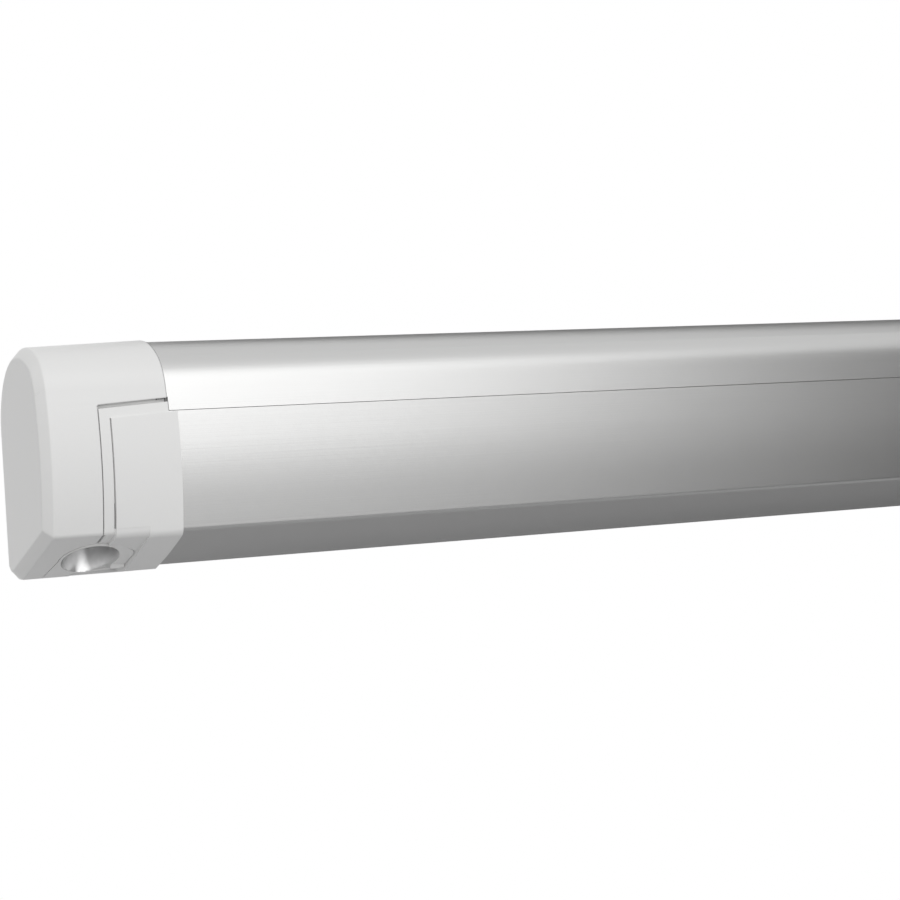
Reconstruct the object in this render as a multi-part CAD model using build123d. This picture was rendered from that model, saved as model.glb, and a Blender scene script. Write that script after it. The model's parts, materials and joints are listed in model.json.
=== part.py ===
from build123d import *
import os
from math import atan, cos, degrees, pi, radians, sin, sqrt, tan

# A wall cassette awning with a crank, two folding arms and two support legs, modelled shut.
# All lengths are millimetres. X runs along the cassette, the wall is the plane Y = 0, the front is
# at -Y and Z is up. Heights are first measured from the lowest point of the end caps; place_on_wall
# then lowers everything so that the origin is the middle of the wall bolts.

# Driving dimensions
cassette_length = 2600.0
cassette_depth = 90.7
cassette_height = 125.0
crown_rise = 2.2
arm_share = 0.4
bracket_share = 5 / 13
arm_opening_angle = 77.0
arm_pitch = 8.0

# Outline of the end cap as shares of depth and height, from the wall to the front
corner_share = (0.0, 0.04)
back_top_share = (0.0, 0.63)
back_round_share = (0.142, 0.893)
crown_share = (0.485, 1.0)
top_round_share = (0.66, 0.986)
brow_share = (0.838, 0.933)
brow_round_share = (0.918, 0.868)
cheek_share = (0.959, 0.784)
belly_share = (1.0, 0.496)
bend_share = (0.944, 0.183)
toe_share = (0.164, 0.0)
heel_share = (0.08, 0.0)

# How much of the crown's rise the points of the crown take, from the wall to the front
rise_shares = (0.4, 1.0, 0.7)

# Outline of the lead rail's underside, in the same shares
rail_bend_share = (0.946, 0.178)
rail_under_share = (0.66, 0.095)
rail_rear_share = (0.384, 0.0265)
rail_tail_share = (0.22, 0.0235)
seam_share = 0.690

# Walls, steps and gaps of the shells
cap_wall = 2.7
cap_proud = 1.0
cap_overlap = 69.7
cap_screw_height = 40.0
cap_screw_radius = 1.3
cap_screw_length = 12.0
cap_bevel_length = 5.0
cap_bevel_width = 5.5
rib_setback = 2.1
rib_thickness = 2.0
rib_rise = 3.0
rib_drop = 5.5
bend_radius = 3.0
corner_radius = 2.5
skin_wall = 2.0
rail_wall = 1.8
shell_gap = 0.3
face_gap = 0.05

# The step-shaped cut between the end cap and the lead rail's cap
cut_from_end = 31.4
cut_rear_share = 0.11
cut_height_share = 0.7456
cut_drop = 2.4
cut_gap = 2.0
strip_width = 5.5
slit_width = 0.6
slit_depth = 1.4
relief_width = 0.8
relief_start = 59.0
panel_proud = 2.2
rail_cap_length = 42.8
rail_cap_sleeve = 6.3
plug_length = 12.0
plug_play = 0.15

# Wall brackets
bracket_thickness = 4.0
bracket_width = 90.0
bolt_radius = 3.25
sink_radius = 5.8
bolt_rise = 70.0
bolt_line = 60.0
bracket_top = 108.0
tongue_line = 63.0
tongue_thickness = 3.0
tongue_reach = 2.2
tongue_rise = 3.0
foot_thickness = 2.5
lock_screw_radius = 1.5
lock_screw_length = 14.0
screw_head_share = 1.6

# Housing details
housing_floor = 6.0
boss_depth = 2.9
boss_height = 13.0
hook_room = 4.8
port_radius = 3.4
port_bore = 1.5
lip_flange = 4.2
seal_height = 1.4
port_depth_share = 0.75

# Roller, cloth and gear
roller_radius = 25.0
roller_wall = 1.6
cloth_thickness = 0.5
cloth_margin = 80.0
roll_back_gap = 4.7
roll_top_gap = 7.0
shaft_radius = 6.0
running_gap = 0.06
bush_radius = 10.0
bush_flange = 13.0
plate_thickness = 4.0
plate_from_end = 60.0
plug_depth = 30.0
gear_module = 2.4
wheel_teeth = 14
worm_starts = 2
worm_pitch_radius = 8.0
pressure_angle = 20.0
tooth_top = 2.0
tooth_root = 2.6
backlash = 0.8
wheel_width = 6.0
worm_length = 24.0
worm_shaft_radius = 4.0
bearing_radius = 6.5
bearing_length = 7.0
bearing_reach = 14.0
case_thickness = 6.0
cover_wall = 1.6
cover_radius = 21.0
cover_worm_radius = 12.5
cover_round = 4.0

# Crank funnel and eye
funnel_from_end = 35.5
funnel_along = 31.55
funnel_half_width = 15.1
funnel_half_length = 23.7
funnel_aside = -1.6
funnel_forward = 3.0
funnel_throat_radius = 13.0
funnel_depth = 27.0
funnel_rim = 1.4
insert_lift = 1.2
insert_tilt = 3.8
insert_left_shares = ((0.32, 1.13), (-0.9, 0.6), (-1.16, 0.19), (-1.29, -1.23))
insert_right_shares = ((1.325, -0.58), (1.325, 0.42), (1.29, 0.62), (1.16, 0.8), (0.32, 1.41))
flap_floor = 3.6
flap_thickness = 2.0
eye_radius = 10.0
eye_bore = 6.0
eye_thickness = 6.0
eye_depth = 21.0
eye_neck = 10.0

# Folding arms
shoulder_from_end = 110.0
shoulder_setback = 22.7
shoulder_height = 38.0
tube_depth = 22.0
tube_height = 20.0
tube_wall = 2.0
tube_round = 3.0
tube_pitch = 26.0
elbow_offset = 22.0
lug_height = 12.0
lug_radius = 8.0
fork_plate = 3.5
fork_gap = 0.2
fork_radius = 10.0
pin_radius = 4.0
pin_head = 5.6
pin_head_height = 1.6
joint_setback = 24.0
web_setback = 15.0
knuckle_plug = 30.0
spring_radius = 6.5
spring_wire = 1.6
spring_eye = 10.0
bracket_base_height = 34.0
bracket_base_width = 64.0

# Lead rail interior and keder groove
box_depth = 10.0
keder_radius = 2.6
keder_wall = 1.4
keder_gap = 0.3
keder_slot = 1.8

# Support legs
leg_depth = 12.0
leg_height = 19.0
leg_floor = 3.1
leg_wall = 1.2
leg_gap = 0.3
lane_gap = 0.7
leg_round = 2.5
leg_pivot_from_end = 97.0
leg_end_from_middle = 108.0
leg_tip_from_middle = 62.0
collar_length = 30.0
leg_pin_radius = 3.0
foot_length = 44.0
foot_cheek = 9.0
knob_radius = 8.0
knob_height = 8.0
knob_lobes = 6
knob_screw_radius = 2.0
inner_play = 0.25
leg_ear = 3.0

# Places worked out from the sizes above
half_length = cassette_length / 2
arm_reach = arm_share * cassette_length
bracket_spread = bracket_share * cassette_length
cloth_drop = 2 * arm_reach * sin(radians(arm_opening_angle))
roll_radius = sqrt(roller_radius**2 + cloth_drop * cloth_thickness / pi)
housing_back = -(bracket_thickness + shell_gap)
wall_face = housing_back - skin_wall
boss_face = wall_face - boss_depth
roller_y = wall_face - roll_back_gap - roll_radius
roller_z = cassette_height - cap_proud - skin_wall - roll_top_gap - roll_radius
housing_start = plate_from_end + plate_thickness
seam_height = seam_share * cassette_height
cut_height = cut_height_share * cassette_height
cut_rear = -cut_rear_share * cassette_depth
shoulder_x = -half_length + shoulder_from_end
shoulder_y = wall_face - shoulder_setback
pitch_cos = cos(radians(arm_pitch))
pitch_sin = sin(radians(arm_pitch))
elbow_x = shoulder_x + arm_reach

upper_v = elbow_offset - tube_pitch / 2
fore_v = elbow_offset + tube_pitch / 2
wrist_v = 2 * elbow_offset
fork_half = lug_height / 2 + fork_gap + fork_plate
lane_back = boss_face - leg_gap
lane_left = (lane_back - leg_depth, lane_back)
lane_right = (lane_back - 2 * leg_depth - lane_gap, lane_back - leg_depth - lane_gap)
rail_rear = lane_right[0] - 2 * leg_gap
leg_z = leg_floor + leg_height / 2
leg_pivot = -half_length + leg_pivot_from_end
leg_end = -leg_end_from_middle
leg_tip = -leg_tip_from_middle
knob_x = leg_end - collar_length / 2
foot_hinge = leg_tip - foot_length / 2 - leg_height / 2
box_rear = -cassette_depth + cap_proud + rail_wall + box_depth
worm_distance = gear_module * wheel_teeth / 2 + worm_pitch_radius


def outline_point(share, lift=0):
    """A point of the end view from its shares of depth and height, and what it is lifted by."""
    return (-cassette_depth * share[0], cassette_height * share[1] + lift)


def box(x, y, z):
    """A block between two ends on each axis, given as pairs in any order."""
    sizes = [abs(b - a) for a, b in (x, y, z)]
    return Pos((x[0] + x[1]) / 2, (y[0] + y[1]) / 2, (z[0] + z[1]) / 2) * Box(*sizes)


def area(y, z):
    """A rectangle of the end view."""
    return Pos((y[0] + y[1]) / 2, (z[0] + z[1]) / 2) * Rectangle(abs(y[1] - y[0]), abs(z[1] - z[0]))


def along(section, start, end):
    """An end view section drawn out along X."""
    return extrude(Plane.YZ.offset(start) * section, amount=end - start)


def rod(start, direction, length, radius):
    """A round bar from a point along a direction."""
    return extrude(Plane(origin=start, z_dir=direction) * Circle(radius), amount=length)


def grown(section, amount):
    """A section with its outline moved out, or in where the amount is negative."""
    return offset(section, amount=amount, kind=Kind.ARC)


def near(shape, points):
    """The vertices of a section that lie nearest to the points."""
    return [shape.vertices().sort_by_distance(Vector(*p, 0))[0] for p in points]


def at_left(piece):
    """A piece drawn from the end face, moved to the left end."""
    return Pos(-half_length, 0, 0) * piece


def mirrored(piece):
    return mirror(piece, about=Plane.YZ)


def cap_outline(rise):
    """The end cap's end view: flat back, round crown, a slightly bulged front and a sloping floor."""
    p = outline_point
    back_round, crown, top_round = (
        p(share, rise * part)
        for share, part in zip((back_round_share, crown_share, top_round_share), rise_shares))
    edges = [
        Line(p(corner_share), p(back_top_share)),
        ThreePointArc(p(back_top_share), back_round, crown),
        ThreePointArc(crown, top_round, p(brow_share)),
        ThreePointArc(p(brow_share), p(brow_round_share), p(cheek_share)),
        ThreePointArc(p(cheek_share), p(belly_share), p(bend_share)),
        Line(p(bend_share), p(toe_share)),
        Line(p(toe_share), p(heel_share)),
        Line(p(heel_share), p(corner_share)),
    ]
    face = make_face(edges)
    face = fillet(near(face, [p(bend_share)]), bend_radius)
    return fillet(near(face, [p(corner_share)]), corner_radius)


def rail_outline():
    """The lead rail's outside, filled in: its front follows the cap, its floor is a shallow arc."""
    p = outline_point
    cheek, belly = p(cheek_share), p(belly_share)
    rear = p(rail_tail_share)
    edges = [
        ThreePointArc(
            (cheek[0] + cap_proud, cheek[1]), (belly[0] + cap_proud, belly[1]), p(rail_bend_share)
        ),
        ThreePointArc(p(rail_bend_share), p(rail_under_share), p(rail_rear_share)),
        Line(p(rail_rear_share), rear),
        Line(rear, (rear[0], cheek[1])),
        Line((rear[0], cheek[1]), (cheek[0] + cap_proud, cheek[1])),
    ]
    return fillet(near(make_face(edges), [p(rail_bend_share)]), bend_radius)


cap_face = cap_outline(0)
crown_face = cap_outline(crown_rise)
rail_face = rail_outline()
deep = 2 * cassette_height
upright = (Align.CENTER, Align.CENTER, Align.MIN)


def housing_section():
    """The cassette's extrusion: back wall, crown and front lip, with a foot, a hook rail and ports."""
    outside = grown(crown_face, -cap_proud) & area((-deep, housing_back), (housing_floor, deep))
    inside = grown(crown_face, -cap_proud - skin_wall) & area((-deep, wall_face), (-deep, deep))
    section = outside - inside - area((-deep, wall_face), (-deep, seam_height + shell_gap))
    section += area((boss_face, wall_face), (housing_floor, housing_floor + boss_height))
    hook_front = wall_face - hook_room
    section += area((hook_front - skin_wall, wall_face), (tongue_line - skin_wall, hook_top() + skin_wall))
    section -= area((hook_front, wall_face), (tongue_line, hook_top()))
    slot_top = tongue_line + tongue_thickness + shell_gap
    section -= area((wall_face, housing_back), (tongue_line, slot_top))
    lip = -cassette_depth + cap_proud + skin_wall
    flange_low = seam_height + shell_gap + seal_height
    section += area((lip - skin_wall / 2, lip + lip_flange), (flange_low, flange_low + skin_wall)) & outside
    port = Pos(*port_centre()) * Circle(port_radius)
    return section + (port & outside) - Pos(*port_centre()) * Circle(port_bore)


def hook_top():
    """The inside height of the hook rail, with room for the bracket's raised tip."""
    return tongue_line + tongue_thickness + tongue_rise + shell_gap


def port_centre():
    """The screw port in the front of the crown, on the line from its brow to the roller."""
    brow = Vector(*outline_point(brow_share))
    inward = (Vector(roller_y, roller_z) - brow).normalized()
    place = brow + inward * (cap_proud + skin_wall + port_depth_share * port_radius)
    return (place.X, place.Y)


def housing():
    body = along(housing_section(), housing_start, cassette_length - housing_start)
    notch = box(
        (-deep, cap_overlap + 2 * shell_gap),
        (-deep, -cassette_depth + box_depth + 2 * skin_wall),
        (-deep, cut_height + 2 * shell_gap),
    )
    body -= notch + box(
        (cassette_length - cap_overlap - 2 * shell_gap, cassette_length + deep),
        (-deep, -cassette_depth + box_depth + 2 * skin_wall),
        (-deep, cut_height + 2 * shell_gap),
    )
    for x in bracket_places():
        body -= rod(
            (x + half_length, lock_screw_y(), housing_floor - skin_wall), (0, 0, 1),
            skin_wall + lock_screw_length - foot_thickness, lock_screw_radius + running_gap,
        )
    return at_left(body)


def housing_seal():
    """A rubber strip under the front lip, above the lead rail's top."""
    lip = -cassette_depth + cap_proud + 2 * skin_wall
    low = seam_height + shell_gap
    strip = area((lip + face_gap, lip + lip_flange - skin_wall - face_gap), (low, low + seal_height))
    start = cap_overlap + 2 * shell_gap
    return at_left(along(strip, start, cassette_length - start))


def bracket_places():
    return (-bracket_spread, 0.0, bracket_spread)


def lock_screw_y():
    return (housing_back + boss_face) / 2


def wall_bracket(x):
    """A plate against the wall with a tongue that the housing hangs on and a foot under it."""
    low = housing_floor - shell_gap
    width = (-bracket_width / 2, bracket_width / 2)
    tip = wall_face - skin_wall / 2
    rise = tongue_line + tongue_thickness
    body = box(width, (-bracket_thickness, 0), (low - foot_thickness, bracket_top))
    body += box(width, (tip - tongue_reach, -bracket_thickness), (tongue_line + shell_gap / 2, rise))
    body += box(width, (tip - tongue_reach, tip), (rise, rise + tongue_rise))
    body += box(width, (boss_face, -bracket_thickness), (low - foot_thickness, low))
    sink_depth = sink_radius - bolt_radius
    for z in (bolt_line - bolt_rise / 2, bolt_line + bolt_rise / 2):
        body -= rod((0, deep / 2, z), (0, -1, 0), deep, bolt_radius)
        cone = Cone(bolt_radius, sink_radius, sink_depth)
        body -= Pos(0, -bracket_thickness + sink_depth / 2, z) * Rot(90, 0, 0) * cone
    under = (0, lock_screw_y(), low - foot_thickness - skin_wall)
    body -= rod(under, (0, 0, 1), foot_thickness + 2 * skin_wall, lock_screw_radius + shell_gap)
    body -= rod(under, (0, 0, 1), skin_wall + screw_head_height(lock_screw_radius),
                screw_head_radius(lock_screw_radius) + face_gap)
    return Pos(x, 0, 0) * body


def screw_head_radius(shank):
    return screw_head_share * shank


def screw_head_height(shank):
    return shank


def screw(tip_distance, shank):
    """A pan head screw along +Z whose head starts at zero, with a square recess."""
    head = rod((0, 0, 0), (0, 0, 1), screw_head_height(shank), screw_head_radius(shank))
    body = head + rod((0, 0, 0), (0, 0, 1), tip_distance, shank)
    recess = box((-shank / 2, shank / 2), (-shank / 2, shank / 2), (-shank, shank / 2))
    return body - recess


def lock_screws():
    low = housing_floor - shell_gap - foot_thickness
    shape = screw(lock_screw_length, lock_screw_radius)
    return [Pos(x, lock_screw_y(), low) * shape for x in bracket_places()]


def end_plate():
    """A cast plate at the housing's end that carries the roller, with a tail down to the cap's floor."""
    inside = grown(cap_face, -cap_wall - shell_gap)
    head = inside & area((-deep, 0), (roller_z - cover_radius, deep))
    head -= area((-deep, roller_y - roll_radius), (-deep, cut_height + 3 * shell_gap))
    tail = inside & area((outline_point(toe_share)[0], 0), (cap_wall + shell_gap, roller_z))
    section = head + tail - Pos(roller_y, roller_z) * Circle(bush_radius + face_gap)
    section -= Pos(*port_centre()) * Circle(port_bore + face_gap)
    plate = along(section, plate_from_end, housing_start)
    return plate - cap_screw_hole()


def cap_screw_place():
    """The screw that holds an end cap from behind, in the edge of the end plate's tail."""
    return Pos(plate_from_end + plate_thickness / 2, 0, cap_screw_height) * Rot(90, 0, 0)


def cap_screw_hole():
    shank = Cylinder(cap_screw_radius + face_gap, cap_screw_length + skin_wall, align=upright)
    head_radius = screw_head_radius(cap_screw_radius) + face_gap
    head = Cylinder(head_radius, screw_head_height(cap_screw_radius), align=upright)
    return cap_screw_place() * (shank + head)


def cap_screws():
    shape = at_left(cap_screw_place() * screw(cap_screw_length, cap_screw_radius))
    return [shape, mirrored(shape)]


def plate_screws():
    """Screws through the end plates into the housing's screw ports."""
    y, z = port_centre()
    turned = Rot(0, 90, 0) * screw(4 * plate_thickness, port_bore)
    start = plate_from_end - screw_head_height(port_bore) - face_gap
    shape = at_left(Pos(start, y, z) * turned)
    return [shape, mirrored(shape)]


def between(section, start, far_section, end):
    """A shape with straight sides from one section to another further along X."""
    return loft([Plane.YZ.offset(end) * far_section, Plane.YZ.offset(start) * section], ruled=True)


def cap_block(inset):
    """The end cap filled in: a bevel all round its end face, then sides that rise to the crown."""
    low, high = cap_face, crown_face
    if inset:
        low, high = grown(low, -inset), grown(high, -inset)
    face = grown(cap_face, -inset - cap_bevel_width)
    middle = inset + cap_bevel_length
    body = between(face, inset, low, middle) + between(low, middle, high, cap_overlap)
    return body + along(high, cap_overlap, cap_overlap + inset) if inset else body


def end_cap(with_funnel):
    """A moulded shell over the cassette's end, with a bevelled face and room for the rail's cap."""
    shell = cap_block(0) - cap_block(cap_wall)
    shell -= below_cut(cut_from_end, deep, 0) & box((0, deep), (-deep, cut_rear), (-deep, deep))
    shell -= along(grown(crown_face, -cap_proud + face_gap), housing_start - face_gap, deep)
    shell -= cap_screw_hole()
    shell += gap_rib()
    if with_funnel:
        shell -= insert_block(insert_section(shell_gap / 2), -2 * cap_wall, 2 * cap_wall)
    return shell


def cut_line(x):
    """The height of the slanting cut in the end cap at a distance from the end face."""
    return cut_height - cut_drop * (cap_overlap - x) / (cap_overlap - cut_from_end)


def below_cut(start, end, clearance):
    """The space under a line that lies below the slanting cut by a clearance."""
    top = ((end, cut_line(end) - clearance), (start, cut_line(start) - clearance))
    face = make_face(Polyline((start, -deep), (end, -deep), *top, close=True))
    return extrude(Plane.XZ * face, amount=deep, both=True)


def gap_rib():
    """A rib inside the end cap that closes the view into the gap over the rail's cap."""
    front = outline_point(cheek_share)[0] + rib_setback - cap_proud / 2
    start, end = cut_from_end - cap_wall, cap_overlap - 2 * shell_gap
    rib = below_cut(start, plate_from_end - shell_gap, -rib_rise) + below_cut(start, end, -face_gap)
    rib -= below_cut(start - cap_wall, deep, rib_drop)
    return rib & box((0, deep), (front, front + rib_thickness), (0, deep))


def slope_plane():
    """The cap's sloping floor at the funnel's middle, facing out, with its local Y up the slope."""
    bend, toe = outline_point(bend_share), outline_point(toe_share)
    run = Vector(0, bend[0] - toe[0], bend[1] - toe[1]).normalized()
    start = Vector(funnel_from_end, *toe) + run * funnel_along
    return Plane(origin=start, x_dir=(1, 0, 0), z_dir=Vector(1, 0, 0).cross(run))


def insert_plane():
    """The funnel insert's face: the slope, lifted and turned so that it rises towards the rail."""
    slope = slope_plane()
    outward, up_slope = slope.z_dir, slope.y_dir
    level = Vector(1, 0, 0) * cos(radians(insert_tilt)) + outward * sin(radians(insert_tilt))
    return Plane(origin=slope.origin + outward * insert_lift, x_dir=level, z_dir=level.cross(up_slope))


def insert_oval(extra):
    """The funnel's oval mouth, or its rim where there is an extra."""
    return Pos(funnel_aside, funnel_forward) * Ellipse(funnel_half_width + extra, funnel_half_length + extra)


def insert_section(extra):
    """The funnel insert seen square to its face: an oval rim on a plate that reaches to the rear."""
    left = [(funnel_half_width * a, funnel_half_length * b) for a, b in insert_left_shares]
    right = [(funnel_half_width * a, funnel_half_length * b) for a, b in insert_right_shares]
    plate = make_face([Polyline(*left, *right[:2]), ThreePointArc(*right[1:4]), Polyline(*right[3:], left[0])])
    if extra:
        plate = grown(plate, extra)
    return plate + insert_oval(funnel_rim + extra)


def insert_block(section, start, end):
    """A section on the insert's face, drawn out square to it between two levels, outwards."""
    return extrude(insert_plane().offset(start) * section, amount=end - start)


def insert_right():
    """Where the insert's right edge lies, from the end face."""
    return funnel_from_end + funnel_half_width * insert_right_shares[0][0]


def worm_axis():
    """The worm's direction, upwards and back, and the point on it that is nearest the roller."""
    mouth = slope_plane().origin
    to_roller = Vector(0, roller_y - mouth.Y, roller_z - mouth.Z)
    reach = to_roller.length
    lean = atan(to_roller.Y / to_roller.Z) + atan(worm_distance / sqrt(reach**2 - worm_distance**2))
    direction = Vector(0, sin(lean), cos(lean))
    return direction, mouth + direction * to_roller.dot(direction)


def crank_funnel():
    """The moulded insert under the left cap: an oval mouth that narrows to the crank's eye."""
    direction, _ = worm_axis()
    mouth = insert_plane()
    throat = Plane(origin=slope_plane().origin + direction * funnel_depth, x_dir=(1, 0, 0), z_dir=-direction)

    def horn(extra, level):
        return loft([mouth.offset(level) * insert_oval(extra), throat * Circle(funnel_throat_radius + extra)])

    flap_rear = cut_rear - shell_gap
    body = insert_block(insert_section(0), -cap_wall, 0) + horn(funnel_rim, -cap_wall / 3)
    body += box((cut_from_end + shell_gap, insert_right()), (flap_rear, roller_y + cap_wall),
                (flap_floor, flap_floor + flap_thickness))
    body -= horn(0, 0)
    body -= insert_block(insert_oval(0), -face_gap, 3 * cap_wall)
    return body - rod(throat.origin - direction * face_gap, direction, funnel_depth, funnel_throat_radius)


def gear_outline():
    """The worm wheel's teeth, with flanks on the involute of its base circle."""
    pitch_radius = gear_module * wheel_teeth / 2
    base = pitch_radius * cos(radians(pressure_angle))
    root, tip = pitch_radius - tooth_root, pitch_radius + tooth_top
    half_tooth = (pi * gear_module / 2 - backlash) / (2 * pitch_radius)

    def flank(radius):
        """Half the tooth's angle at a radius."""
        if radius <= base:
            radius = base
        turn = sqrt((radius / base) ** 2 - 1)
        at_pitch = sqrt((pitch_radius / base) ** 2 - 1)
        return half_tooth + (at_pitch - atan(at_pitch)) - (turn - atan(turn))

    points = []
    for tooth in range(wheel_teeth):
        middle = 2 * pi * tooth / wheel_teeth
        for side in (-1, 1):
            radii = (root, base, pitch_radius, (pitch_radius + tip) / 2, tip)
            for radius in radii[::-side]:
                turn = middle + side * flank(radius)
                points.append((radius * cos(turn), radius * sin(turn)))
    return make_face(Polyline(*points, close=True))


def worm_wheel():
    """A wheel on the roller's shaft whose teeth lean with the worm's thread."""
    direction, touch = worm_axis()
    pitch_radius = gear_module * wheel_teeth / 2
    lead = pi * gear_module * worm_starts
    lean = lead / (2 * pi * worm_pitch_radius)
    turn = degrees(lean * wheel_width / 2 / pitch_radius)
    facing = degrees(atan((touch.Z - roller_z) / (touch.Y - roller_y)))
    teeth = Rot(0, 0, facing + 180.0 / wheel_teeth) * gear_outline()
    low, high = funnel_from_end - wheel_width / 2, funnel_from_end + wheel_width / 2
    levels = ((low, -turn), (high, turn))
    faces = [Plane.YZ.offset(x) * (Pos(roller_y, roller_z) * Rot(0, 0, a) * teeth) for x, a in levels]
    wheel = loft(faces, ruled=True)
    return at_left(wheel - rod((0, roller_y, roller_z), (1, 0, 0), cap_overlap, shaft_radius + face_gap / 2))


def worm_shaft():
    """The two-start worm on its shaft, from the upper bearing down to the crank's eye."""
    direction, touch = worm_axis()
    lead = pi * gear_module * worm_starts
    root, tip = worm_pitch_radius - tooth_root, worm_pitch_radius + tooth_top
    grip = worm_pitch_radius - tooth_root - face_gap * 6
    half_tip = (pi * gear_module / 2 - backlash) / 2 - tooth_top * tan(radians(pressure_angle))
    half_root = half_tip + (tip - grip) * tan(radians(pressure_angle))
    thread_length = worm_length - 2 * half_root - skin_wall
    body = Pos(0, 0, -worm_length / 2) * rod((0, 0, 0), (0, 0, 1), worm_length, root)
    for start in range(worm_starts):
        path = Helix(pitch=lead, height=thread_length, radius=grip)
        section = Plane(origin=path @ 0, x_dir=(1, 0, 0), z_dir=path % 0)
        shape = make_face(Polyline(
            (0, -half_root), (tip - grip, -half_tip), (tip - grip, half_tip), (0, half_root), close=True))
        thread = sweep(section * shape, path=path, is_frenet=True)
        body += Rot(0, 0, 360.0 * start / worm_starts) * Pos(0, 0, -thread_length / 2) * thread
    to_wheel = Vector(0, roller_y - touch.Y, roller_z - touch.Z).normalized()
    turned = Plane(origin=touch, x_dir=to_wheel, z_dir=direction)
    phase = 360.0 * (thread_length / 2) / lead
    body = turned.location * Rot(0, 0, -phase) * body
    top = bearing_reach + bearing_length
    lower = (touch - slope_plane().origin).dot(direction) - eye_depth - eye_radius
    shaft = rod(touch - direction * lower, direction, lower + top - face_gap, worm_shaft_radius)
    return at_left(body + shaft)


def crank_eye():
    """The ring that the crank's hook catches, on a sleeve round the worm shaft's lower end."""
    direction, _ = worm_axis()
    centre = slope_plane().origin + direction * eye_depth
    ring = rod(centre - Vector(eye_thickness / 2, 0, 0), (1, 0, 0), eye_thickness, eye_radius)
    sleeve = rod(centre + direction * (eye_bore + skin_wall), direction,
                 eye_radius - eye_bore - skin_wall + eye_neck, worm_shaft_radius + skin_wall)
    body = ring + sleeve
    body -= rod(centre - Vector(eye_thickness, 0, 0), (1, 0, 0), 2 * eye_thickness, eye_bore)
    hole = worm_shaft_radius + face_gap / 2
    return at_left(body - rod(centre + direction * (eye_radius - face_gap), direction, deep / 4, hole))


def gear_case_outline():
    """The gearbox seen from the end: a round for the wheel and a long block for the worm."""
    direction, touch = worm_axis()
    reach = bearing_reach + bearing_length + skin_wall + cover_wall
    lean = degrees(atan(direction.Z / direction.Y))
    block = RectangleRounded(2 * reach, 2 * cover_worm_radius, cover_round)
    shape = Pos(touch.Y, touch.Z) * Rot(0, 0, lean) * block + Pos(roller_y, roller_z) * Circle(cover_radius)
    return shape & grown(cap_face, -cap_wall - shell_gap)


def gearbox_case():
    """The cast plate on the left end plate, with two bearing blocks for the worm shaft."""
    direction, touch = worm_axis()
    start = plate_from_end - case_thickness
    body = along(gear_case_outline(), start, plate_from_end)
    room = along(grown(gear_case_outline(), -cover_wall - face_gap), 0, plate_from_end)
    body -= rod((0, roller_y, roller_z), (1, 0, 0), deep, shaft_radius + 4 * running_gap)
    for side in (-1, 1):
        middle = touch + direction * side * (bearing_reach + bearing_length / 2)
        frame = Plane(origin=middle, x_dir=(1, 0, 0), z_dir=direction)
        block = extrude(frame * Circle(bearing_radius), amount=bearing_length / 2, both=True)
        block &= room
        reach = start - middle.X
        web = Pos(reach / 2, 0) * Rectangle(reach + face_gap, 2 * bearing_radius)
        body += block + (extrude(frame * web, amount=bearing_length / 2, both=True) & room)
    top = touch + direction * (bearing_reach + bearing_length)
    lower = touch - direction * (bearing_reach + 2 * bearing_length)
    body -= rod(lower, direction, (top - lower).length + skin_wall, worm_shaft_radius + running_gap)
    return at_left(body)


def gearbox_cover():
    """A moulded cover over the wheel and the worm."""
    direction, touch = worm_axis()
    start, end = funnel_from_end - worm_pitch_radius - 2 * tooth_root, plate_from_end - case_thickness
    outline = gear_case_outline()
    body = along(outline, start, end) - along(grown(outline, -cover_wall), start + cover_wall, end + skin_wall)
    body -= rod(touch, -direction, deep, worm_shaft_radius + shell_gap)
    return at_left(body)


def roller_bush(side):
    """A flanged bush in the end plate."""
    start, end = plate_from_end + face_gap, housing_start + skin_wall / 2
    flange = (housing_start + face_gap / 2, roller_y, roller_z)
    body = rod((start, roller_y, roller_z), (1, 0, 0), end - start, bush_radius)
    body += rod(flange, (1, 0, 0), end - housing_start, bush_flange)
    body -= rod((0, roller_y, roller_z), (1, 0, 0), deep, shaft_radius + running_gap)
    return at_left(body) if side < 0 else mirrored(at_left(body))


def roller_start():
    return housing_start + 2 * skin_wall


def roller_tube():
    start, end = roller_start(), cassette_length - roller_start()
    tube = rod((start, roller_y, roller_z), (1, 0, 0), end - start, roller_radius)
    return at_left(tube - rod((0, roller_y, roller_z), (1, 0, 0), cassette_length, roller_radius - roller_wall))


def roller_plug(shaft_start):
    """A plug in the roller's end with its shaft out to the bush, and to the worm wheel at the left."""
    start = roller_start()
    inner = roller_radius - roller_wall - face_gap
    body = rod((start, roller_y, roller_z), (1, 0, 0), plug_depth, inner)
    body += rod((shaft_start, roller_y, roller_z), (1, 0, 0), start - shaft_start + skin_wall, shaft_radius)
    return at_left(body)


def fabric_roll():
    """The cloth wound on the roller, as one sleeve."""
    start, end = cloth_margin, cassette_length - cloth_margin
    roll = rod((start, roller_y, roller_z), (1, 0, 0), end - start, roll_radius)
    return at_left(roll - rod((0, roller_y, roller_z), (1, 0, 0), cassette_length, roller_radius + face_gap))


def arm_frame():
    """The tilted plane that the arms fold in, with its origin at the shoulders' height and depth."""
    return Pos(0, shoulder_y, shoulder_height) * Rot(arm_pitch, 0, 0)


def cloth_level():
    """How far above the arms' plane the free cloth leaves the roll."""
    down = (roller_y - shoulder_y) * -pitch_sin + (roller_z - shoulder_height) * pitch_cos
    return down - roll_radius - shell_gap - cloth_thickness / 2


def cloth_start():
    """How far out from the shoulders, along the arms' plane, the cloth leaves the roll."""
    return -((roller_y - shoulder_y) * pitch_cos + (roller_z - shoulder_height) * pitch_sin)


def keder_out():
    """How far out from the shoulders the keder groove's middle lies."""
    groove = box_rear - keder_radius - keder_wall
    return (shoulder_y - groove - cloth_level() * pitch_sin) / pitch_cos


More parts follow.
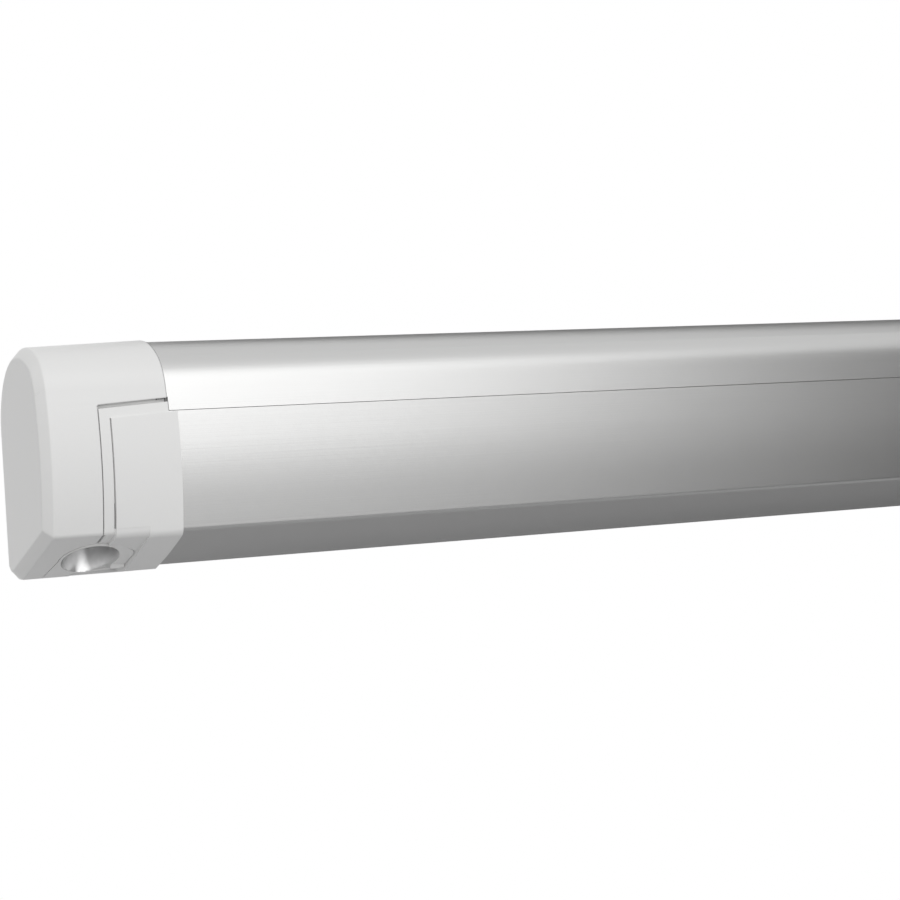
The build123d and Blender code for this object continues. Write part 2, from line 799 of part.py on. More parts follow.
def keder_centre():
    """The keder groove's middle in the end view."""
    v, w = keder_out(), cloth_level()
    return (shoulder_y - v * pitch_cos - w * pitch_sin, shoulder_height - v * pitch_sin + w * pitch_cos)


def cloth_piece(start, end):
    half = cassette_length / 2 - cloth_margin
    level = cloth_level()
    return arm_frame() * box((-half, half), (-end, -start),
                             (level - cloth_thickness / 2, level + cloth_thickness / 2))


def cloth_middle():
    return (cloth_start() + keder_out()) / 2


def fabric_run():
    """The short stretch of cloth between the roll and the hem."""
    return cloth_piece(cloth_start(), cloth_middle() - shell_gap)


def fabric_hem():
    """The hem that ends in the lead rail's keder groove."""
    return cloth_piece(cloth_middle(), keder_out() - keder_radius - keder_gap)


def square_tube(start, end, v, height=tube_height, depth=tube_depth):
    """A rounded tube along X in the arms' plane."""
    outer = RectangleRounded(depth, height, tube_round)
    inner = RectangleRounded(depth - 2 * tube_wall, height - 2 * tube_wall, tube_round - tube_wall)
    return Pos(0, -v, 0) * along(outer - inner, start, end)


def pin_hole(x, v):
    return rod((x, -v, -deep / 4), (0, 0, 1), deep / 2, pin_radius + running_gap)


def arm_plate(x, v, tube_end, away, tube_v, radius, z):
    """A flat plate from an eye at x, v to the web at a tube's end, clear of the other arm's tube."""
    side = 1 if tube_v > v else -1
    web = tube_end - away * (joint_setback - web_setback)
    corners = [
        (x, -(v - side * radius)),
        (web, -(tube_v - side * tube_depth / 2)),
        (web, -(tube_v + side * (tube_depth / 2 - tube_round))),
        (x, -(v + side * radius)),
    ]
    plate = make_face(Polyline(*corners, close=True)) + Pos(x, -v) * Circle(radius)
    return extrude(Plane.XY.offset(z[0]) * plate, amount=z[1] - z[0])


def tube_plug(tube_end, away, v):
    """A block that fills a tube's end, with a web of the tube's outline on it."""
    gap = tube_wall + face_gap
    inner = RectangleRounded(tube_depth - 2 * gap, tube_height - 2 * gap, tube_round - tube_wall)
    web = RectangleRounded(tube_depth, tube_height, tube_round)
    web_face = tube_end - away * (joint_setback - web_setback)
    body = along(inner, *sorted((tube_end, tube_end + away * knuckle_plug)))
    return Pos(0, -v, 0) * (body + along(web, *sorted((web_face, tube_end))))


def lug_piece(tube_end, away, tube_v, x, v):
    """A flat lug with its eye at x, v, on a block that plugs the tube's end."""
    body = tube_plug(tube_end, away, tube_v)
    body += arm_plate(x, v, tube_end, away, tube_v, lug_radius, (-lug_height / 2, lug_height / 2))
    return body - pin_hole(x, v)


def fork_piece(tube_end, away, tube_v, x, v):
    """Two plates with an eye each, on a block that plugs the tube's end."""
    body = tube_plug(tube_end, away, tube_v)
    for low in (-fork_half, fork_half - fork_plate):
        body += arm_plate(x, v, tube_end, away, tube_v, fork_radius, (low, low + fork_plate))
    return body - pin_hole(x, v)


def pin(x, v):
    """A headed pin through a fork and its lug."""
    reach = fork_half + fork_gap / 2
    body = rod((x, -v, -reach), (0, 0, 1), 2 * reach, pin_radius)
    return body + rod((x, -v, reach), (0, 0, 1), pin_head_height, pin_head)


def arm_spring(start, end, v):
    """A long tension spring in the upper arm, as its outside, with a hook block at each end."""
    bore = spring_radius - spring_wire
    body = rod((start, -v, 0), (1, 0, 0), end - start, spring_radius)
    return body - rod((start + spring_eye, -v, 0), (1, 0, 0), end - start - 2 * spring_eye, bore)


def arm_pieces():
    """The left arm's pieces in place, by node name."""
    frame = arm_frame()
    upper_start, upper_end = shoulder_x + joint_setback, elbow_x - joint_setback
    pieces = {
        "shoulder_knuckle": lug_piece(upper_start, 1, upper_v, shoulder_x, 0),
        "upper_arm": square_tube(upper_start, upper_end, upper_v),
        "elbow_fork": fork_piece(upper_end, -1, upper_v, elbow_x, elbow_offset),
        "elbow_pin": pin(elbow_x, elbow_offset),
        "arm_spring": arm_spring(upper_start + knuckle_plug + face_gap,
                                 upper_end - knuckle_plug - face_gap, upper_v),
        "elbow_lug": lug_piece(upper_end, -1, fore_v, elbow_x, elbow_offset),
        "forearm": square_tube(upper_start, upper_end, fore_v),
        "wrist_lug": lug_piece(upper_start, 1, fore_v, shoulder_x, wrist_v),
    }
    return {name: frame * piece for name, piece in pieces.items()}


def jaw_pair(x, v, reach):
    """Two plates round a lug's eye that reach back, or forward where reach is beyond the eye."""
    body = None
    for side in (-1, 1):
        z = (side * (lug_height / 2 + fork_gap), side * fork_half)
        jaw = box((x - fork_radius, x + fork_radius), (-v, -reach), z)
        jaw += rod((x, -v, min(z)), (0, 0, 1), fork_plate, fork_radius)
        body = jaw if body is None else body + jaw
    return body


def eye_width():
    """The width of the shoulder's and the wrist's brackets at their pins."""
    return (shoulder_x - fork_radius, shoulder_x + fork_radius)


def shoulder_bracket():
    """The casting on the housing's back wall that holds the shoulder's pin."""
    frame = arm_frame()
    back = -shoulder_setback - tube_depth
    body = frame * jaw_pair(shoulder_x, 0, back)
    root = -lug_radius - 4 * fork_gap
    body += frame * box(eye_width(), (-root, -back), (-fork_half, fork_half))
    low = leg_z + leg_height / 2 + 2 * skin_wall
    body += box((shoulder_x - bracket_base_width / 2, shoulder_x + bracket_base_width / 2),
                (wall_face - face_gap - 2 * skin_wall, wall_face + deep), (low, low + bracket_base_height))
    body &= box((-deep * deep, deep * deep), (-deep, wall_face - face_gap), (low, deep))
    return body - frame * pin_hole(shoulder_x, 0)


def rail_room():
    """The space inside the lead rail's front wall and floor, in the end view."""
    return grown(rail_face, -rail_wall - face_gap)


def wrist_bracket():
    """The casting in the lead rail that holds the wrist's pin, shaped to the rail's inside."""
    frame = arm_frame()
    front = wrist_v + tube_depth
    body = frame * jaw_pair(shoulder_x, wrist_v, front)
    root = wrist_v + lug_radius + 4 * fork_gap
    body += frame * box(eye_width(), (-root, -front), (-fork_half, fork_half))
    body &= along(rail_room(), -cassette_length, cassette_length)
    return body - frame * pin_hole(shoulder_x, wrist_v)


def rail_section():
    """The lead rail's extrusion: front wall, floor, upper box and keder groove."""
    wall = rail_face - grown(rail_face, -rail_wall)
    section = wall & area((-deep, rail_rear), (-deep, seam_height))
    y, z = keder_centre()
    filled = rail_face & area((-deep, 0), (-deep, seam_height))
    section += area((box_rear - rail_wall, box_rear), (z, seam_height))
    section += area((-deep, box_rear), (seam_height - rail_wall, seam_height)) & filled
    section += area((-deep, y), (z - rail_wall / 2, z + rail_wall / 2)) & filled
    section += Pos(y, z) * Circle(keder_radius + keder_wall + keder_gap)
    slot = Pos(y, z) * Rot(0, 0, arm_pitch) * (Pos(box_depth / 2, 0) * Rectangle(box_depth, keder_slot))
    section -= Pos(y, z) * Circle(keder_radius + keder_gap) + slot
    lip = area((rail_rear - rail_wall, rail_rear), (0, rail_room_top()))
    return section + (lip & rail_face)


def rail_room_top():
    """A height safely above the floor's rear edge and below everything else."""
    return leg_floor + leg_round + 2 * rail_wall


def lead_rail():
    start = rail_start()
    return at_left(along(rail_section(), start, cassette_length - start))


def rail_start():
    return cut_from_end + rail_cap_length - rail_cap_sleeve


def rail_cap_skin():
    """The outside of the rail's cap: a flush strip, a slit and a raised panel, folded under the bend."""
    start, end = cut_from_end + shell_gap, cut_from_end + rail_cap_length
    slit = start + strip_width
    panel_start = slit + slit_width
    rear = outline_point(rail_tail_share)[0] - 2 * cap_proud
    top = seam_height - shell_gap
    inner = grown(rail_face, -cap_proud)
    lining = grown(cap_face, -cap_wall)
    base = (cap_face - inner) & area((-deep, box_rear), (-deep, cut_height))
    panel = (grown(rail_face, panel_proud) - inner) & area((-deep, rear), (-deep, top))
    under = area((-deep, under_split()), (-deep, bend_height()))
    side = (cap_face + grown(rail_face, panel_proud) - lining) & under
    below_panel_top = below_cut(slit - slit_width, end, cut_line(end) - top)
    body = along(base, start, cap_overlap) & below_cut(start, cap_overlap, cut_gap)
    body += along(panel, panel_start, end) & below_panel_top
    body += along((cap_face - lining) & under, start, panel_start + skin_wall)
    body += along(side, panel_start, panel_start + skin_wall)
    body -= box((start, start + relief_width), (-deep, -relief_start), (-deep, bend_height() - bend_radius))
    groove = (cap_face & area((-deep, 0), (bend_height(), top))) - grown(cap_face, -slit_depth)
    return body - (along(groove, slit, panel_start) & below_panel_top)


def rail_cap_plug():
    """The web that closes the rail's end and the plug in the rail's upper box."""
    y, z = keder_centre()
    web = rail_face & area((-deep, box_rear), (z, seam_height))
    low = z + keder_radius + keder_wall + 2 * keder_gap
    inside = rail_wall + plug_play
    chamber = grown(rail_face, -inside) & area((-deep, box_rear - inside), (low, seam_height - inside))
    body = along(web, rail_start() - 2 * rail_wall, rail_start() - face_gap)
    return body + along(chamber, rail_start() - rail_wall, rail_start() + plug_length)


def rail_cap(with_funnel):
    """The lead rail's moulded end, cut out round the crank's funnel at the left."""
    body = rail_cap_skin() - along(grown(rail_face, face_gap), rail_start() - face_gap, deep)
    body += rail_cap_plug()
    if with_funnel:
        body -= insert_block(insert_section(shell_gap), -3 * cap_wall, 3 * cap_wall)
        beside = insert_right() + shell_gap
        body -= box((-deep, beside), (under_split(), deep), (-deep, bend_height()))
        body -= along(area((-deep, 0), (-deep, bend_height())) - grown(cap_face, panel_proud), 0, beside)
    return body


def bend_height():
    return outline_point(bend_share)[1] + bend_radius


def under_split():
    """Behind this line the rail's cap has no floor beside the funnel."""
    return slope_plane().origin.Y


def keder_rod():
    """The round cord in the hem, held in the rail's groove."""
    y, z = keder_centre()
    half = cassette_length / 2 - cloth_margin
    return rod((-half, y, z), (1, 0, 0), 2 * half, keder_radius)


def leg_section(shrink, round_radius):
    return RectangleRounded(leg_depth - 2 * shrink, leg_height - 2 * shrink, round_radius)


def leg_row(section, lane, start, end):
    """A leg section drawn out along its lane."""
    return Pos(0, sum(lane) / 2, leg_z) * along(section, start, end)


def cross_rod(x, lane, radius, beyond=0):
    """A round bar across a leg's lane that may reach beyond both its sides."""
    return rod((x, lane[0] - beyond, leg_z), (0, 1, 0), leg_depth + 2 * beyond, radius)


def leg_tube(lane):
    """The outer leg: a rounded tube with a round end and a hole at its hinge."""
    start = leg_pivot - leg_height / 2
    tube = leg_row(leg_section(0, leg_round), lane, start, leg_end - collar_length)
    tube -= leg_row(leg_section(leg_wall, leg_round - leg_wall), lane, leg_pivot + leg_height, leg_end)
    corner = box((start, leg_pivot), lane, (leg_z - leg_height / 2, leg_z + leg_height / 2))
    tube -= corner - cross_rod(leg_pivot, lane, leg_height / 2)
    return tube - cross_rod(leg_pivot, lane, leg_pin_radius + running_gap, skin_wall)


def leg_inner(lane):
    """The inner leg: a slimmer tube with a round nose that carries the foot's pin."""
    slim = leg_section(leg_wall + inner_play, leg_round - leg_wall)
    inner = leg_row(slim, lane, leg_pivot + 2 * leg_height, foot_hinge + leg_height)
    end_block = box((foot_hinge, foot_hinge + 2 * leg_height), lane, (leg_z - leg_height, leg_z + leg_height))
    inner -= end_block - cross_rod(foot_hinge, lane, leg_height / 2 - leg_wall - inner_play)
    inner -= cross_rod(foot_hinge, lane, leg_pin_radius)
    bore = leg_section(2 * leg_wall + inner_play, leg_wall / 2)
    return inner - leg_row(bore, lane, leg_pivot + leg_height, foot_hinge - leg_height)


def leg_collar(lane):
    """The moulded collar on the outer leg's end, with a hole for the knob's screw."""
    room = leg_section(leg_wall + inner_play - running_gap, leg_round - leg_wall)
    collar = leg_row(leg_section(0, leg_round), lane, leg_end - collar_length, leg_end)
    collar -= leg_row(room, lane, leg_end - 2 * collar_length, leg_end + collar_length)
    hole = rod((0, 0, 0), (0, 0, 1), leg_height, knob_screw_radius + running_gap)
    return collar - Pos(knob_x, sum(lane) / 2, leg_z) * hole


def leg_knob(lane):
    """The clamp knob on the collar, with round lobes and a screw that presses on the inner leg."""
    knob = rod((0, 0, -leg_wall), (0, 0, 1), leg_wall + knob_height, knob_screw_radius)
    knob += rod((0, 0, shell_gap), (0, 0, 1), knob_height, knob_radius - skin_wall)
    for lobe in range(knob_lobes):
        spot = Vector(knob_radius - skin_wall, 0, shell_gap).rotate(Axis.Z, 360 * lobe / knob_lobes)
        knob += rod(spot, (0, 0, 1), knob_height, skin_wall)
    return Pos(knob_x, sum(lane) / 2, leg_z + leg_height / 2) * knob


def leg_foot(lane):
    """A hinged foot: a cheek on each side of the inner leg and a pad beyond its end."""
    pad_start = leg_tip - foot_length / 2 + skin_wall
    body = box((pad_start, leg_tip), lane, (leg_z - leg_height / 2, leg_z + leg_height / 2))
    cheek = leg_wall - face_gap
    for rear in (lane[0], lane[1] - cheek):
        depth = (rear, rear + cheek)
        body += box((foot_hinge, leg_tip), depth, (leg_z - foot_cheek / 2, leg_z + foot_cheek / 2))
        body += rod((foot_hinge, rear, leg_z), (0, 1, 0), cheek, foot_cheek / 2)
    return body + cross_rod(foot_hinge, lane, leg_pin_radius - running_gap)


def leg_bracket(lane):
    """The casting on the rail's floor that reaches back over its lip to the leg's hinge."""
    width = (leg_pivot - leg_height / 2, leg_pivot + leg_height / 2)
    top = leg_z + leg_pin_radius + skin_wall
    low = leg_floor + rail_wall
    lip = rail_rear - rail_wall
    body = box(width, (rail_rear - 2 * leg_height, lip - leg_ear + face_gap), (0, top))
    body &= along(rail_room(), -cassette_length, cassette_length)
    behind = rail_room() + area((lip, 0), (low, top))
    ear = box(width, (lip - leg_ear, lane[0] - leg_gap), (low, top))
    body += ear & along(behind, -cassette_length, cassette_length)
    body -= box(width, (lip - face_gap, rail_rear + leg_gap / 2), (0, rail_room_top() + face_gap))
    return body - rod((leg_pivot, lane[0], leg_z), (0, -1, 0), deep, leg_pin_radius + running_gap)


def leg_pin(lane):
    """The leg's hinge pin, from the bracket's front to the rear of the leg."""
    front = rail_rear - rail_wall - leg_ear
    return rod((leg_pivot, front, leg_z), (0, 1, 0), lane[1] - front, leg_pin_radius)


def place_on_wall(piece):
    return Pos(0, 0, -bolt_line) * piece


def awning():
    """Every node's solids, by node name."""
    nodes = {
        "housing": [housing()],
        "housing_seal": [housing_seal()],
        "wall_brackets": [wall_bracket(x) for x in bracket_places()],
        "lock_screws": lock_screws(),
        "end_cap_left": [at_left(end_cap(True))],
        "end_cap_right": [mirrored(at_left(end_cap(False)))],
        "end_plate_left": [at_left(end_plate())],
        "end_plate_right": [mirrored(at_left(end_plate()))],
        "plate_screws": plate_screws(),
        "cap_screws": cap_screws(),
        "crank_funnel": [at_left(crank_funnel())],
        "gearbox_case": [gearbox_case()],
        "gearbox_cover": [gearbox_cover()],
        "worm_shaft": [worm_shaft()],
        "crank_eye": [crank_eye()],
        "worm_wheel": [worm_wheel()],
        "roller_bushes": [roller_bush(-1), roller_bush(1)],
        "roller_tube": [roller_tube()],
        "roller_plug_left": [roller_plug(funnel_from_end - wheel_width / 2 - skin_wall)],
        "roller_plug_right": [mirrored(roller_plug(plate_from_end + skin_wall / 2))],
        "fabric_roll": [fabric_roll()],
        "fabric_run": [fabric_run()],
        "fabric_hem": [fabric_hem()],
        "lead_rail": [lead_rail()],
        "rail_cap_left": [at_left(rail_cap(True))],
        "rail_cap_right": [mirrored(at_left(rail_cap(False)))],
        "keder_rod": [keder_rod()],
        "shoulder_pins": [arm_frame() * pin(shoulder_x, 0)],
        "wrist_pins": [arm_frame() * pin(shoulder_x, wrist_v)],
        "wrist_brackets": [wrist_bracket()],
        "leg_brackets": [leg_bracket(lane_left), mirrored(leg_bracket(lane_right))],
        "leg_pins": [leg_pin(lane_left), mirrored(leg_pin(lane_right))],
        "shoulder_bracket_left": [shoulder_bracket()],
        "shoulder_bracket_right": [mirrored(shoulder_bracket())],
    }
    for name in ("shoulder_pins", "wrist_pins", "wrist_brackets"):
        nodes[name].append(mirrored(nodes[name][0]))
    for name, piece in arm_pieces().items():
        nodes[name + "_left"] = [piece]
        nodes[name + "_right"] = [mirrored(piece)]
    legs = {"leg_tube": leg_tube, "leg_inner": leg_inner, "leg_collar": leg_collar,
            "leg_knob": leg_knob, "leg_foot": leg_foot}
    for name, make in legs.items():
        nodes[name + "_left"] = [make(lane_left)]
        nodes[name + "_right"] = [mirrored(make(lane_right))]
    return nodes


def write_parts():
    os.makedirs("parts", exist_ok=True)
    for name, pieces in awning().items():
        solids = [s for piece in pieces for s in place_on_wall(piece).solids()]
        shape = solids[0] if len(solids) == 1 else Compound(children=solids)
        export_step(shape, f"parts/{name}.step")


write_parts()
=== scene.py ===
import json
from math import cos, radians, sin, tau

import bmesh
import bpy
from mathutils import Matrix, Vector
from mathutils.bvhtree import BVHTree


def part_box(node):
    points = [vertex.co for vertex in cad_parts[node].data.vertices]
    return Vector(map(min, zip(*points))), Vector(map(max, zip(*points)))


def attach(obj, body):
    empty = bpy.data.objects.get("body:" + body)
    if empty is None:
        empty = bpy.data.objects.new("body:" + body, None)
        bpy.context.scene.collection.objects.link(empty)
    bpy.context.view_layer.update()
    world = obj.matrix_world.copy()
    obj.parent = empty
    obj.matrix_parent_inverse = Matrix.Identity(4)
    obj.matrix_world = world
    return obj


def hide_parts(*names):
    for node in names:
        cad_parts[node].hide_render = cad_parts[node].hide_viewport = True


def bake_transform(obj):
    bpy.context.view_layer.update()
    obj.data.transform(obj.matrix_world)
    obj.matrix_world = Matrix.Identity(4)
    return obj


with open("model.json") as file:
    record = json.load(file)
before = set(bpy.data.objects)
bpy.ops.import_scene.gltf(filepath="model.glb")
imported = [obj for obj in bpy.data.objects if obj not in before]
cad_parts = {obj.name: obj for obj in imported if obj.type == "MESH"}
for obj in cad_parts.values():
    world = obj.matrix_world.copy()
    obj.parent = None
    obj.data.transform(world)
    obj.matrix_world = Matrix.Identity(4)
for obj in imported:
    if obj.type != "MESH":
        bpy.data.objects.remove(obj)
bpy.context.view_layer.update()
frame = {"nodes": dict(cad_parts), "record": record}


# The room: a round pale floor that fades out at its rim, under a white sky, and one wide soft lamp.
# The awning hangs at its usual height, so the legs reach the floor when they are down.
class Wire:
    """An output of a shader node. Sums, products and so on of wires add Math nodes."""

    def __init__(self, tree, socket=None):
        self.tree = tree
        self.socket = socket

    def node(self, kind, settings=None, sockets=None, out=0):
        """Adds a node: first its settings, then the values or wires of its sockets."""
        made = self.tree.nodes.new("ShaderNode" + kind)
        for name, value in (settings or {}).items():
            setattr(made, name, value)
        for name, value in (sockets or {}).items():
            if isinstance(value, Wire):
                self.tree.links.new(value.socket, made.inputs[name])
            else:
                made.inputs[name].default_value = value
        return Wire(self.tree, made.outputs[out] if made.outputs else None)

    def maths(self, operation, *values):
        return self.node("Math", {"operation": operation}, dict(enumerate(values)))

    def noise(self, place, scale, detail, roughness=0.5):
        """Cloudy noise: blobs per metre, and how many times finer ones are added."""
        return self.node("TexNoise", None,
                         {"Vector": place, "Scale": scale, "Detail": detail, "Roughness": roughness})

    def between(self, share, first, second):
        """A colour between two others."""
        return self.node("Mix", {"data_type": "RGBA"}, {0: share, 6: first, 7: second}, out=2)

    def __add__(self, other):
        return self.maths("ADD", self, other)

    def __radd__(self, other):
        return self.maths("ADD", other, self)

    def __sub__(self, other):
        return self.maths("SUBTRACT", self, other)

    def __rsub__(self, other):
        return self.maths("SUBTRACT", other, self)

    def __mul__(self, other):
        return self.maths("MULTIPLY", self, other)

    def __rmul__(self, other):
        return self.maths("MULTIPLY", other, self)

    def __truediv__(self, other):
        return self.maths("DIVIDE", self, other)


def clean_tree(owner):
    """The emptied node tree of a material or of the world."""
    owner.use_nodes = True
    owner.node_tree.nodes.clear()
    return Wire(owner.node_tree)


def new_object(name, points, faces, smooth=True):
    """A mesh object from points and faces."""
    mesh = bpy.data.meshes.new(name)
    mesh.from_pydata(points, [], faces)
    mesh.update()
    for face in mesh.polygons:
        face.use_smooth = smooth
    made = bpy.data.objects.new(name, mesh)
    bpy.context.scene.collection.objects.link(made)
    return made


floor_height = -2.5
floor_radius = 7.0
floor_colour = (0.74, 0.74, 0.75, 1)
floor_speckle = (0.78, 0.78, 0.78, 1)
rim_points = 96
clear_from_share, solid_to_share = 1.06, 0.55
rim = [(floor_radius * cos(tau * k / rim_points), floor_radius * sin(tau * k / rim_points), floor_height)
       for k in range(rim_points)]
floor = new_object("floor", rim, [tuple(range(rim_points))], smooth=False)
floor_paint = bpy.data.materials.new("pale_floor")
tree = clean_tree(floor_paint)
place = tree.node("TexCoord", out="Object")
from_middle = tree.node("VectorMath", {"operation": "LENGTH"}, {0: place}, out="Value") / floor_radius
faded = tree.node("MapRange", {"interpolation_type": "SMOOTHSTEP"},
                  {"Value": from_middle, "From Min": clear_from_share, "From Max": solid_to_share,
                   "To Min": 0, "To Max": 1})
paint = tree.between(tree.noise(place, scale=60.0, detail=4.0), floor_colour, floor_speckle)
from_above = 1 - tree.node("NewGeometry", out="Backfacing")
shader = tree.node("BsdfPrincipled", None,
                   {"Base Color": paint, "Roughness": 0.9, "Alpha": faded * from_above})
tree.node("OutputMaterial", None, {"Surface": shader})
floor.data.materials.append(floor_paint)

sky_level = 0.46
world = bpy.data.worlds.new("studio")
bpy.context.scene.world = world
tree = clean_tree(world)
seen = tree.node("LightPath", out="Is Camera Ray")
mirrored = tree.node("LightPath", out="Is Glossy Ray")
through = tree.node("LightPath", out="Is Transmission Ray")
direct = tree.maths("MAXIMUM", tree.maths("MAXIMUM", seen, mirrored), through)
sky = tree.node("Background", None,
                {"Color": (1, 1, 1, 1), "Strength": sky_level + (1 - sky_level) * direct})
tree.node("OutputWorld", None, {"Surface": sky})


def soft_box(name, place, aim, width, height, power):
    """A large flat lamp that faces its aim."""
    light = bpy.data.lights.new(name, "AREA")
    light.shape = "RECTANGLE"
    light.size = width
    light.size_y = height
    light.energy = power
    lamp = bpy.data.objects.new(name, light)
    bpy.context.scene.collection.objects.link(lamp)
    lamp.location = place
    lamp.rotation_euler = (Vector(aim) - Vector(place)).to_track_quat("-Z", "Y").to_euler()


soft_box("front_soft_box", place=(-1.5, -2.3, 1.5), aim=(-1.2, 0, 0), width=4.4, height=3.4, power=56)


# Curtain: dark cloth that hangs round the right and the back of the room, out of the picture, so
# that the metal has something dark to mirror. Only reflections show it.
curtain_middle_x = -1.0
curtain_radius = 4.2
curtain_from, curtain_to = radians(33), radians(165)
curtain_low, curtain_high = -2.5, 3.2
curtain_strips = 60
fold_depth = 0.05
folds_to_the_circle = 27
curtain_points = []
for k in range(curtain_strips + 1):
    angle = curtain_from + (curtain_to - curtain_from) * k / curtain_strips
    reach = curtain_radius + fold_depth * sin(folds_to_the_circle * angle)
    for height in (curtain_low, curtain_high):
        curtain_points.append((curtain_middle_x + reach * sin(angle), -reach * cos(angle), height))
curtain_faces = [(2 * k, 2 * k + 2, 2 * k + 3, 2 * k + 1) for k in range(curtain_strips)]
curtain = new_object("curtain", curtain_points, curtain_faces)
curtain_cloth = bpy.data.materials.new("curtain_cloth")
tree = clean_tree(curtain_cloth)
dull = tree.node("BsdfDiffuse", None, {"Color": (0.02, 0.02, 0.02, 1)})
clear = tree.node("BsdfTransparent")
cloth = tree.node("MixShader", None, {0: tree.node("LightPath", out="Is Glossy Ray"), 1: clear, 2: dull})
tree.node("OutputMaterial", None, {"Surface": cloth})
curtain.data.materials.append(curtain_cloth)


# Camera: a long lens to the left of the awning's end and level with it, turned towards the far end
# and tipped a little, as the photograph was taken.
lens_position = Vector((-1.5706, -1.1299, -0.0138))
turn, rise, roll = radians(25.84), radians(0.5286), radians(3.557)
forward = Vector((sin(turn) * cos(rise), cos(turn) * cos(rise), sin(rise)))
level_right = Vector((cos(turn), -sin(turn), 0))
level_down = forward.cross(level_right)
right = cos(roll) * level_right + sin(roll) * level_down
up = sin(roll) * level_right - cos(roll) * level_down
lens = bpy.data.cameras.new("camera")
lens.lens = 82
lens.sensor_width = 36
lens.clip_end = 60
camera = bpy.data.objects.new("camera", lens)
bpy.context.scene.collection.objects.link(camera)
facing = Matrix((right, up, -forward)).transposed().to_4x4()
camera.matrix_world = Matrix.Translation(lens_position) @ facing
bpy.context.scene.camera = camera
bpy.context.scene.view_settings.view_transform = "Standard"


# Wall brackets: three short lengths of extruded aluminium, sawn off and drilled for two bolts each.
# The housing hooks over their tongues, and two small steel screws lock it from below.
def finish(name, base, metallic, roughness, specular=0.5):
    """A new material, with its node tree and its shader."""
    material = bpy.data.materials.new(name)
    tree = clean_tree(material)
    shader = tree.tree.nodes.new("ShaderNodeBsdfPrincipled")
    for socket, value in (("Base Color", base), ("Metallic", metallic), ("Roughness", roughness),
                          ("Specular IOR Level", specular)):
        shader.inputs[socket].default_value = value
    tree.node("OutputMaterial", None, {"Surface": Wire(tree.tree, shader.outputs[0])})
    return material, tree, shader


def feed(tree, shader, **wires):
    """Links wires to the sockets of a shader, written with _ for a space."""
    for socket, wire in wires.items():
        tree.tree.links.new(wire.socket, shader.inputs[socket.replace("_", " ")])


def extruded(name, light, dark, roughness, streaks, depth):
    """Anodised extrusion: fine lines along X from the die, a slow drift of tone, and dust-fine grain."""
    material, tree, shader = finish(name, light, 1.0, roughness)
    place = tree.node("TexCoord", out="Object")
    drawn = tree.node("VectorMath", {"operation": "MULTIPLY"}, {0: place, 1: (6.0, streaks, streaks)})
    lines = tree.noise(drawn, scale=1.0, detail=5.0, roughness=0.6)
    grain = tree.noise(place, scale=2600.0, detail=2.0)
    drift = tree.noise(place, scale=5.0, detail=2.0)
    tone = 0.5 * lines + 0.3 * drift + 0.2 * grain
    bump = tree.node("Bump", None, {"Strength": depth, "Distance": 0.0004, "Height": lines + 0.4 * grain})
    feed(tree, shader, Base_Color=tree.between(tone, dark, light),
         Roughness=roughness - 0.06 + 0.12 * tone, Normal=bump)
    return material


def plated(name, light, dark, roughness):
    """Zinc plated steel: bright and a little cloudy."""
    material, tree, shader = finish(name, light, 1.0, roughness)
    place = tree.node("TexCoord", out="Object")
    clouds = tree.noise(place, scale=240.0, detail=4.0)
    bump = tree.node("Bump", None, {"Strength": 0.2, "Distance": 0.0002, "Height": clouds})
    feed(tree, shader, Base_Color=tree.between(clouds, dark, light),
         Roughness=roughness - 0.05 + 0.1 * clouds, Normal=bump)
    return material


nodes = frame["nodes"]


def dress(material, *names):
    """Gives CAD nodes a material."""
    for name in names:
        nodes[name].data.materials.clear()
        nodes[name].data.materials.append(material)


mill_aluminium = extruded("mill_aluminium", light=(0.56, 0.57, 0.58, 1), dark=(0.44, 0.45, 0.46, 1),
                          roughness=0.38, streaks=900, depth=0.5)
bright_steel = plated("bright_steel", light=(0.62, 0.62, 0.61, 1), dark=(0.47, 0.48, 0.49, 1), roughness=0.3)
dress(mill_aluminium, "wall_brackets")
dress(bright_steel, "lock_screws")


# Housing: one long extrusion with its hooks, front lip and arm floor, anodised a satin silver.
# A soft rubber strip sits under the lip and closes on the lead rail. At each end a small block of
# foam fills the corner behind the lip.
def moulded(name, light, dark, roughness, grain_scale, depth, specular=0.5):
    """Moulded plastic, rubber or foam with a fine even grain and a faint drift of tone."""
    material, tree, shader = finish(name, light, 0.0, roughness, specular)
    place = tree.node("TexCoord", out="Object")
    grain = tree.noise(place, scale=grain_scale, detail=3.0)
    drift = tree.noise(place, scale=14.0, detail=2.0)
    tone = 0.4 * grain + 0.6 * drift
    bump = tree.node("Bump", None, {"Strength": depth, "Distance": 0.0002, "Height": grain})
    feed(tree, shader, Base_Color=tree.between(tone, dark, light),
         Roughness=roughness - 0.05 + 0.1 * tone, Normal=bump)
    return material


satin_silver = extruded("satin_silver", light=(0.56, 0.56, 0.556, 1), dark=(0.525, 0.525, 0.522, 1),
                        roughness=0.36, streaks=1400, depth=0.12)
grey_rubber = moulded("grey_rubber", light=(0.36, 0.36, 0.36, 1), dark=(0.28, 0.28, 0.28, 1),
                      roughness=0.7, grain_scale=1500, depth=0.4, specular=0.3)
dress(satin_silver, "housing")
dress(grey_rubber, "housing_seal")


def apply_modifiers(piece):
    """Puts what a piece's modifiers make into its own mesh."""
    bpy.context.view_layer.update()
    graph = bpy.context.evaluated_depsgraph_get()
    mesh = bpy.data.meshes.new_from_object(piece.evaluated_get(graph))
    piece.modifiers.clear()
    piece.data = mesh


foam_low = (1.2209, -0.0852, 0.0299)
foam_high = (1.2306, -0.0828, 0.0365)
foam_edge_radius = 0.0004


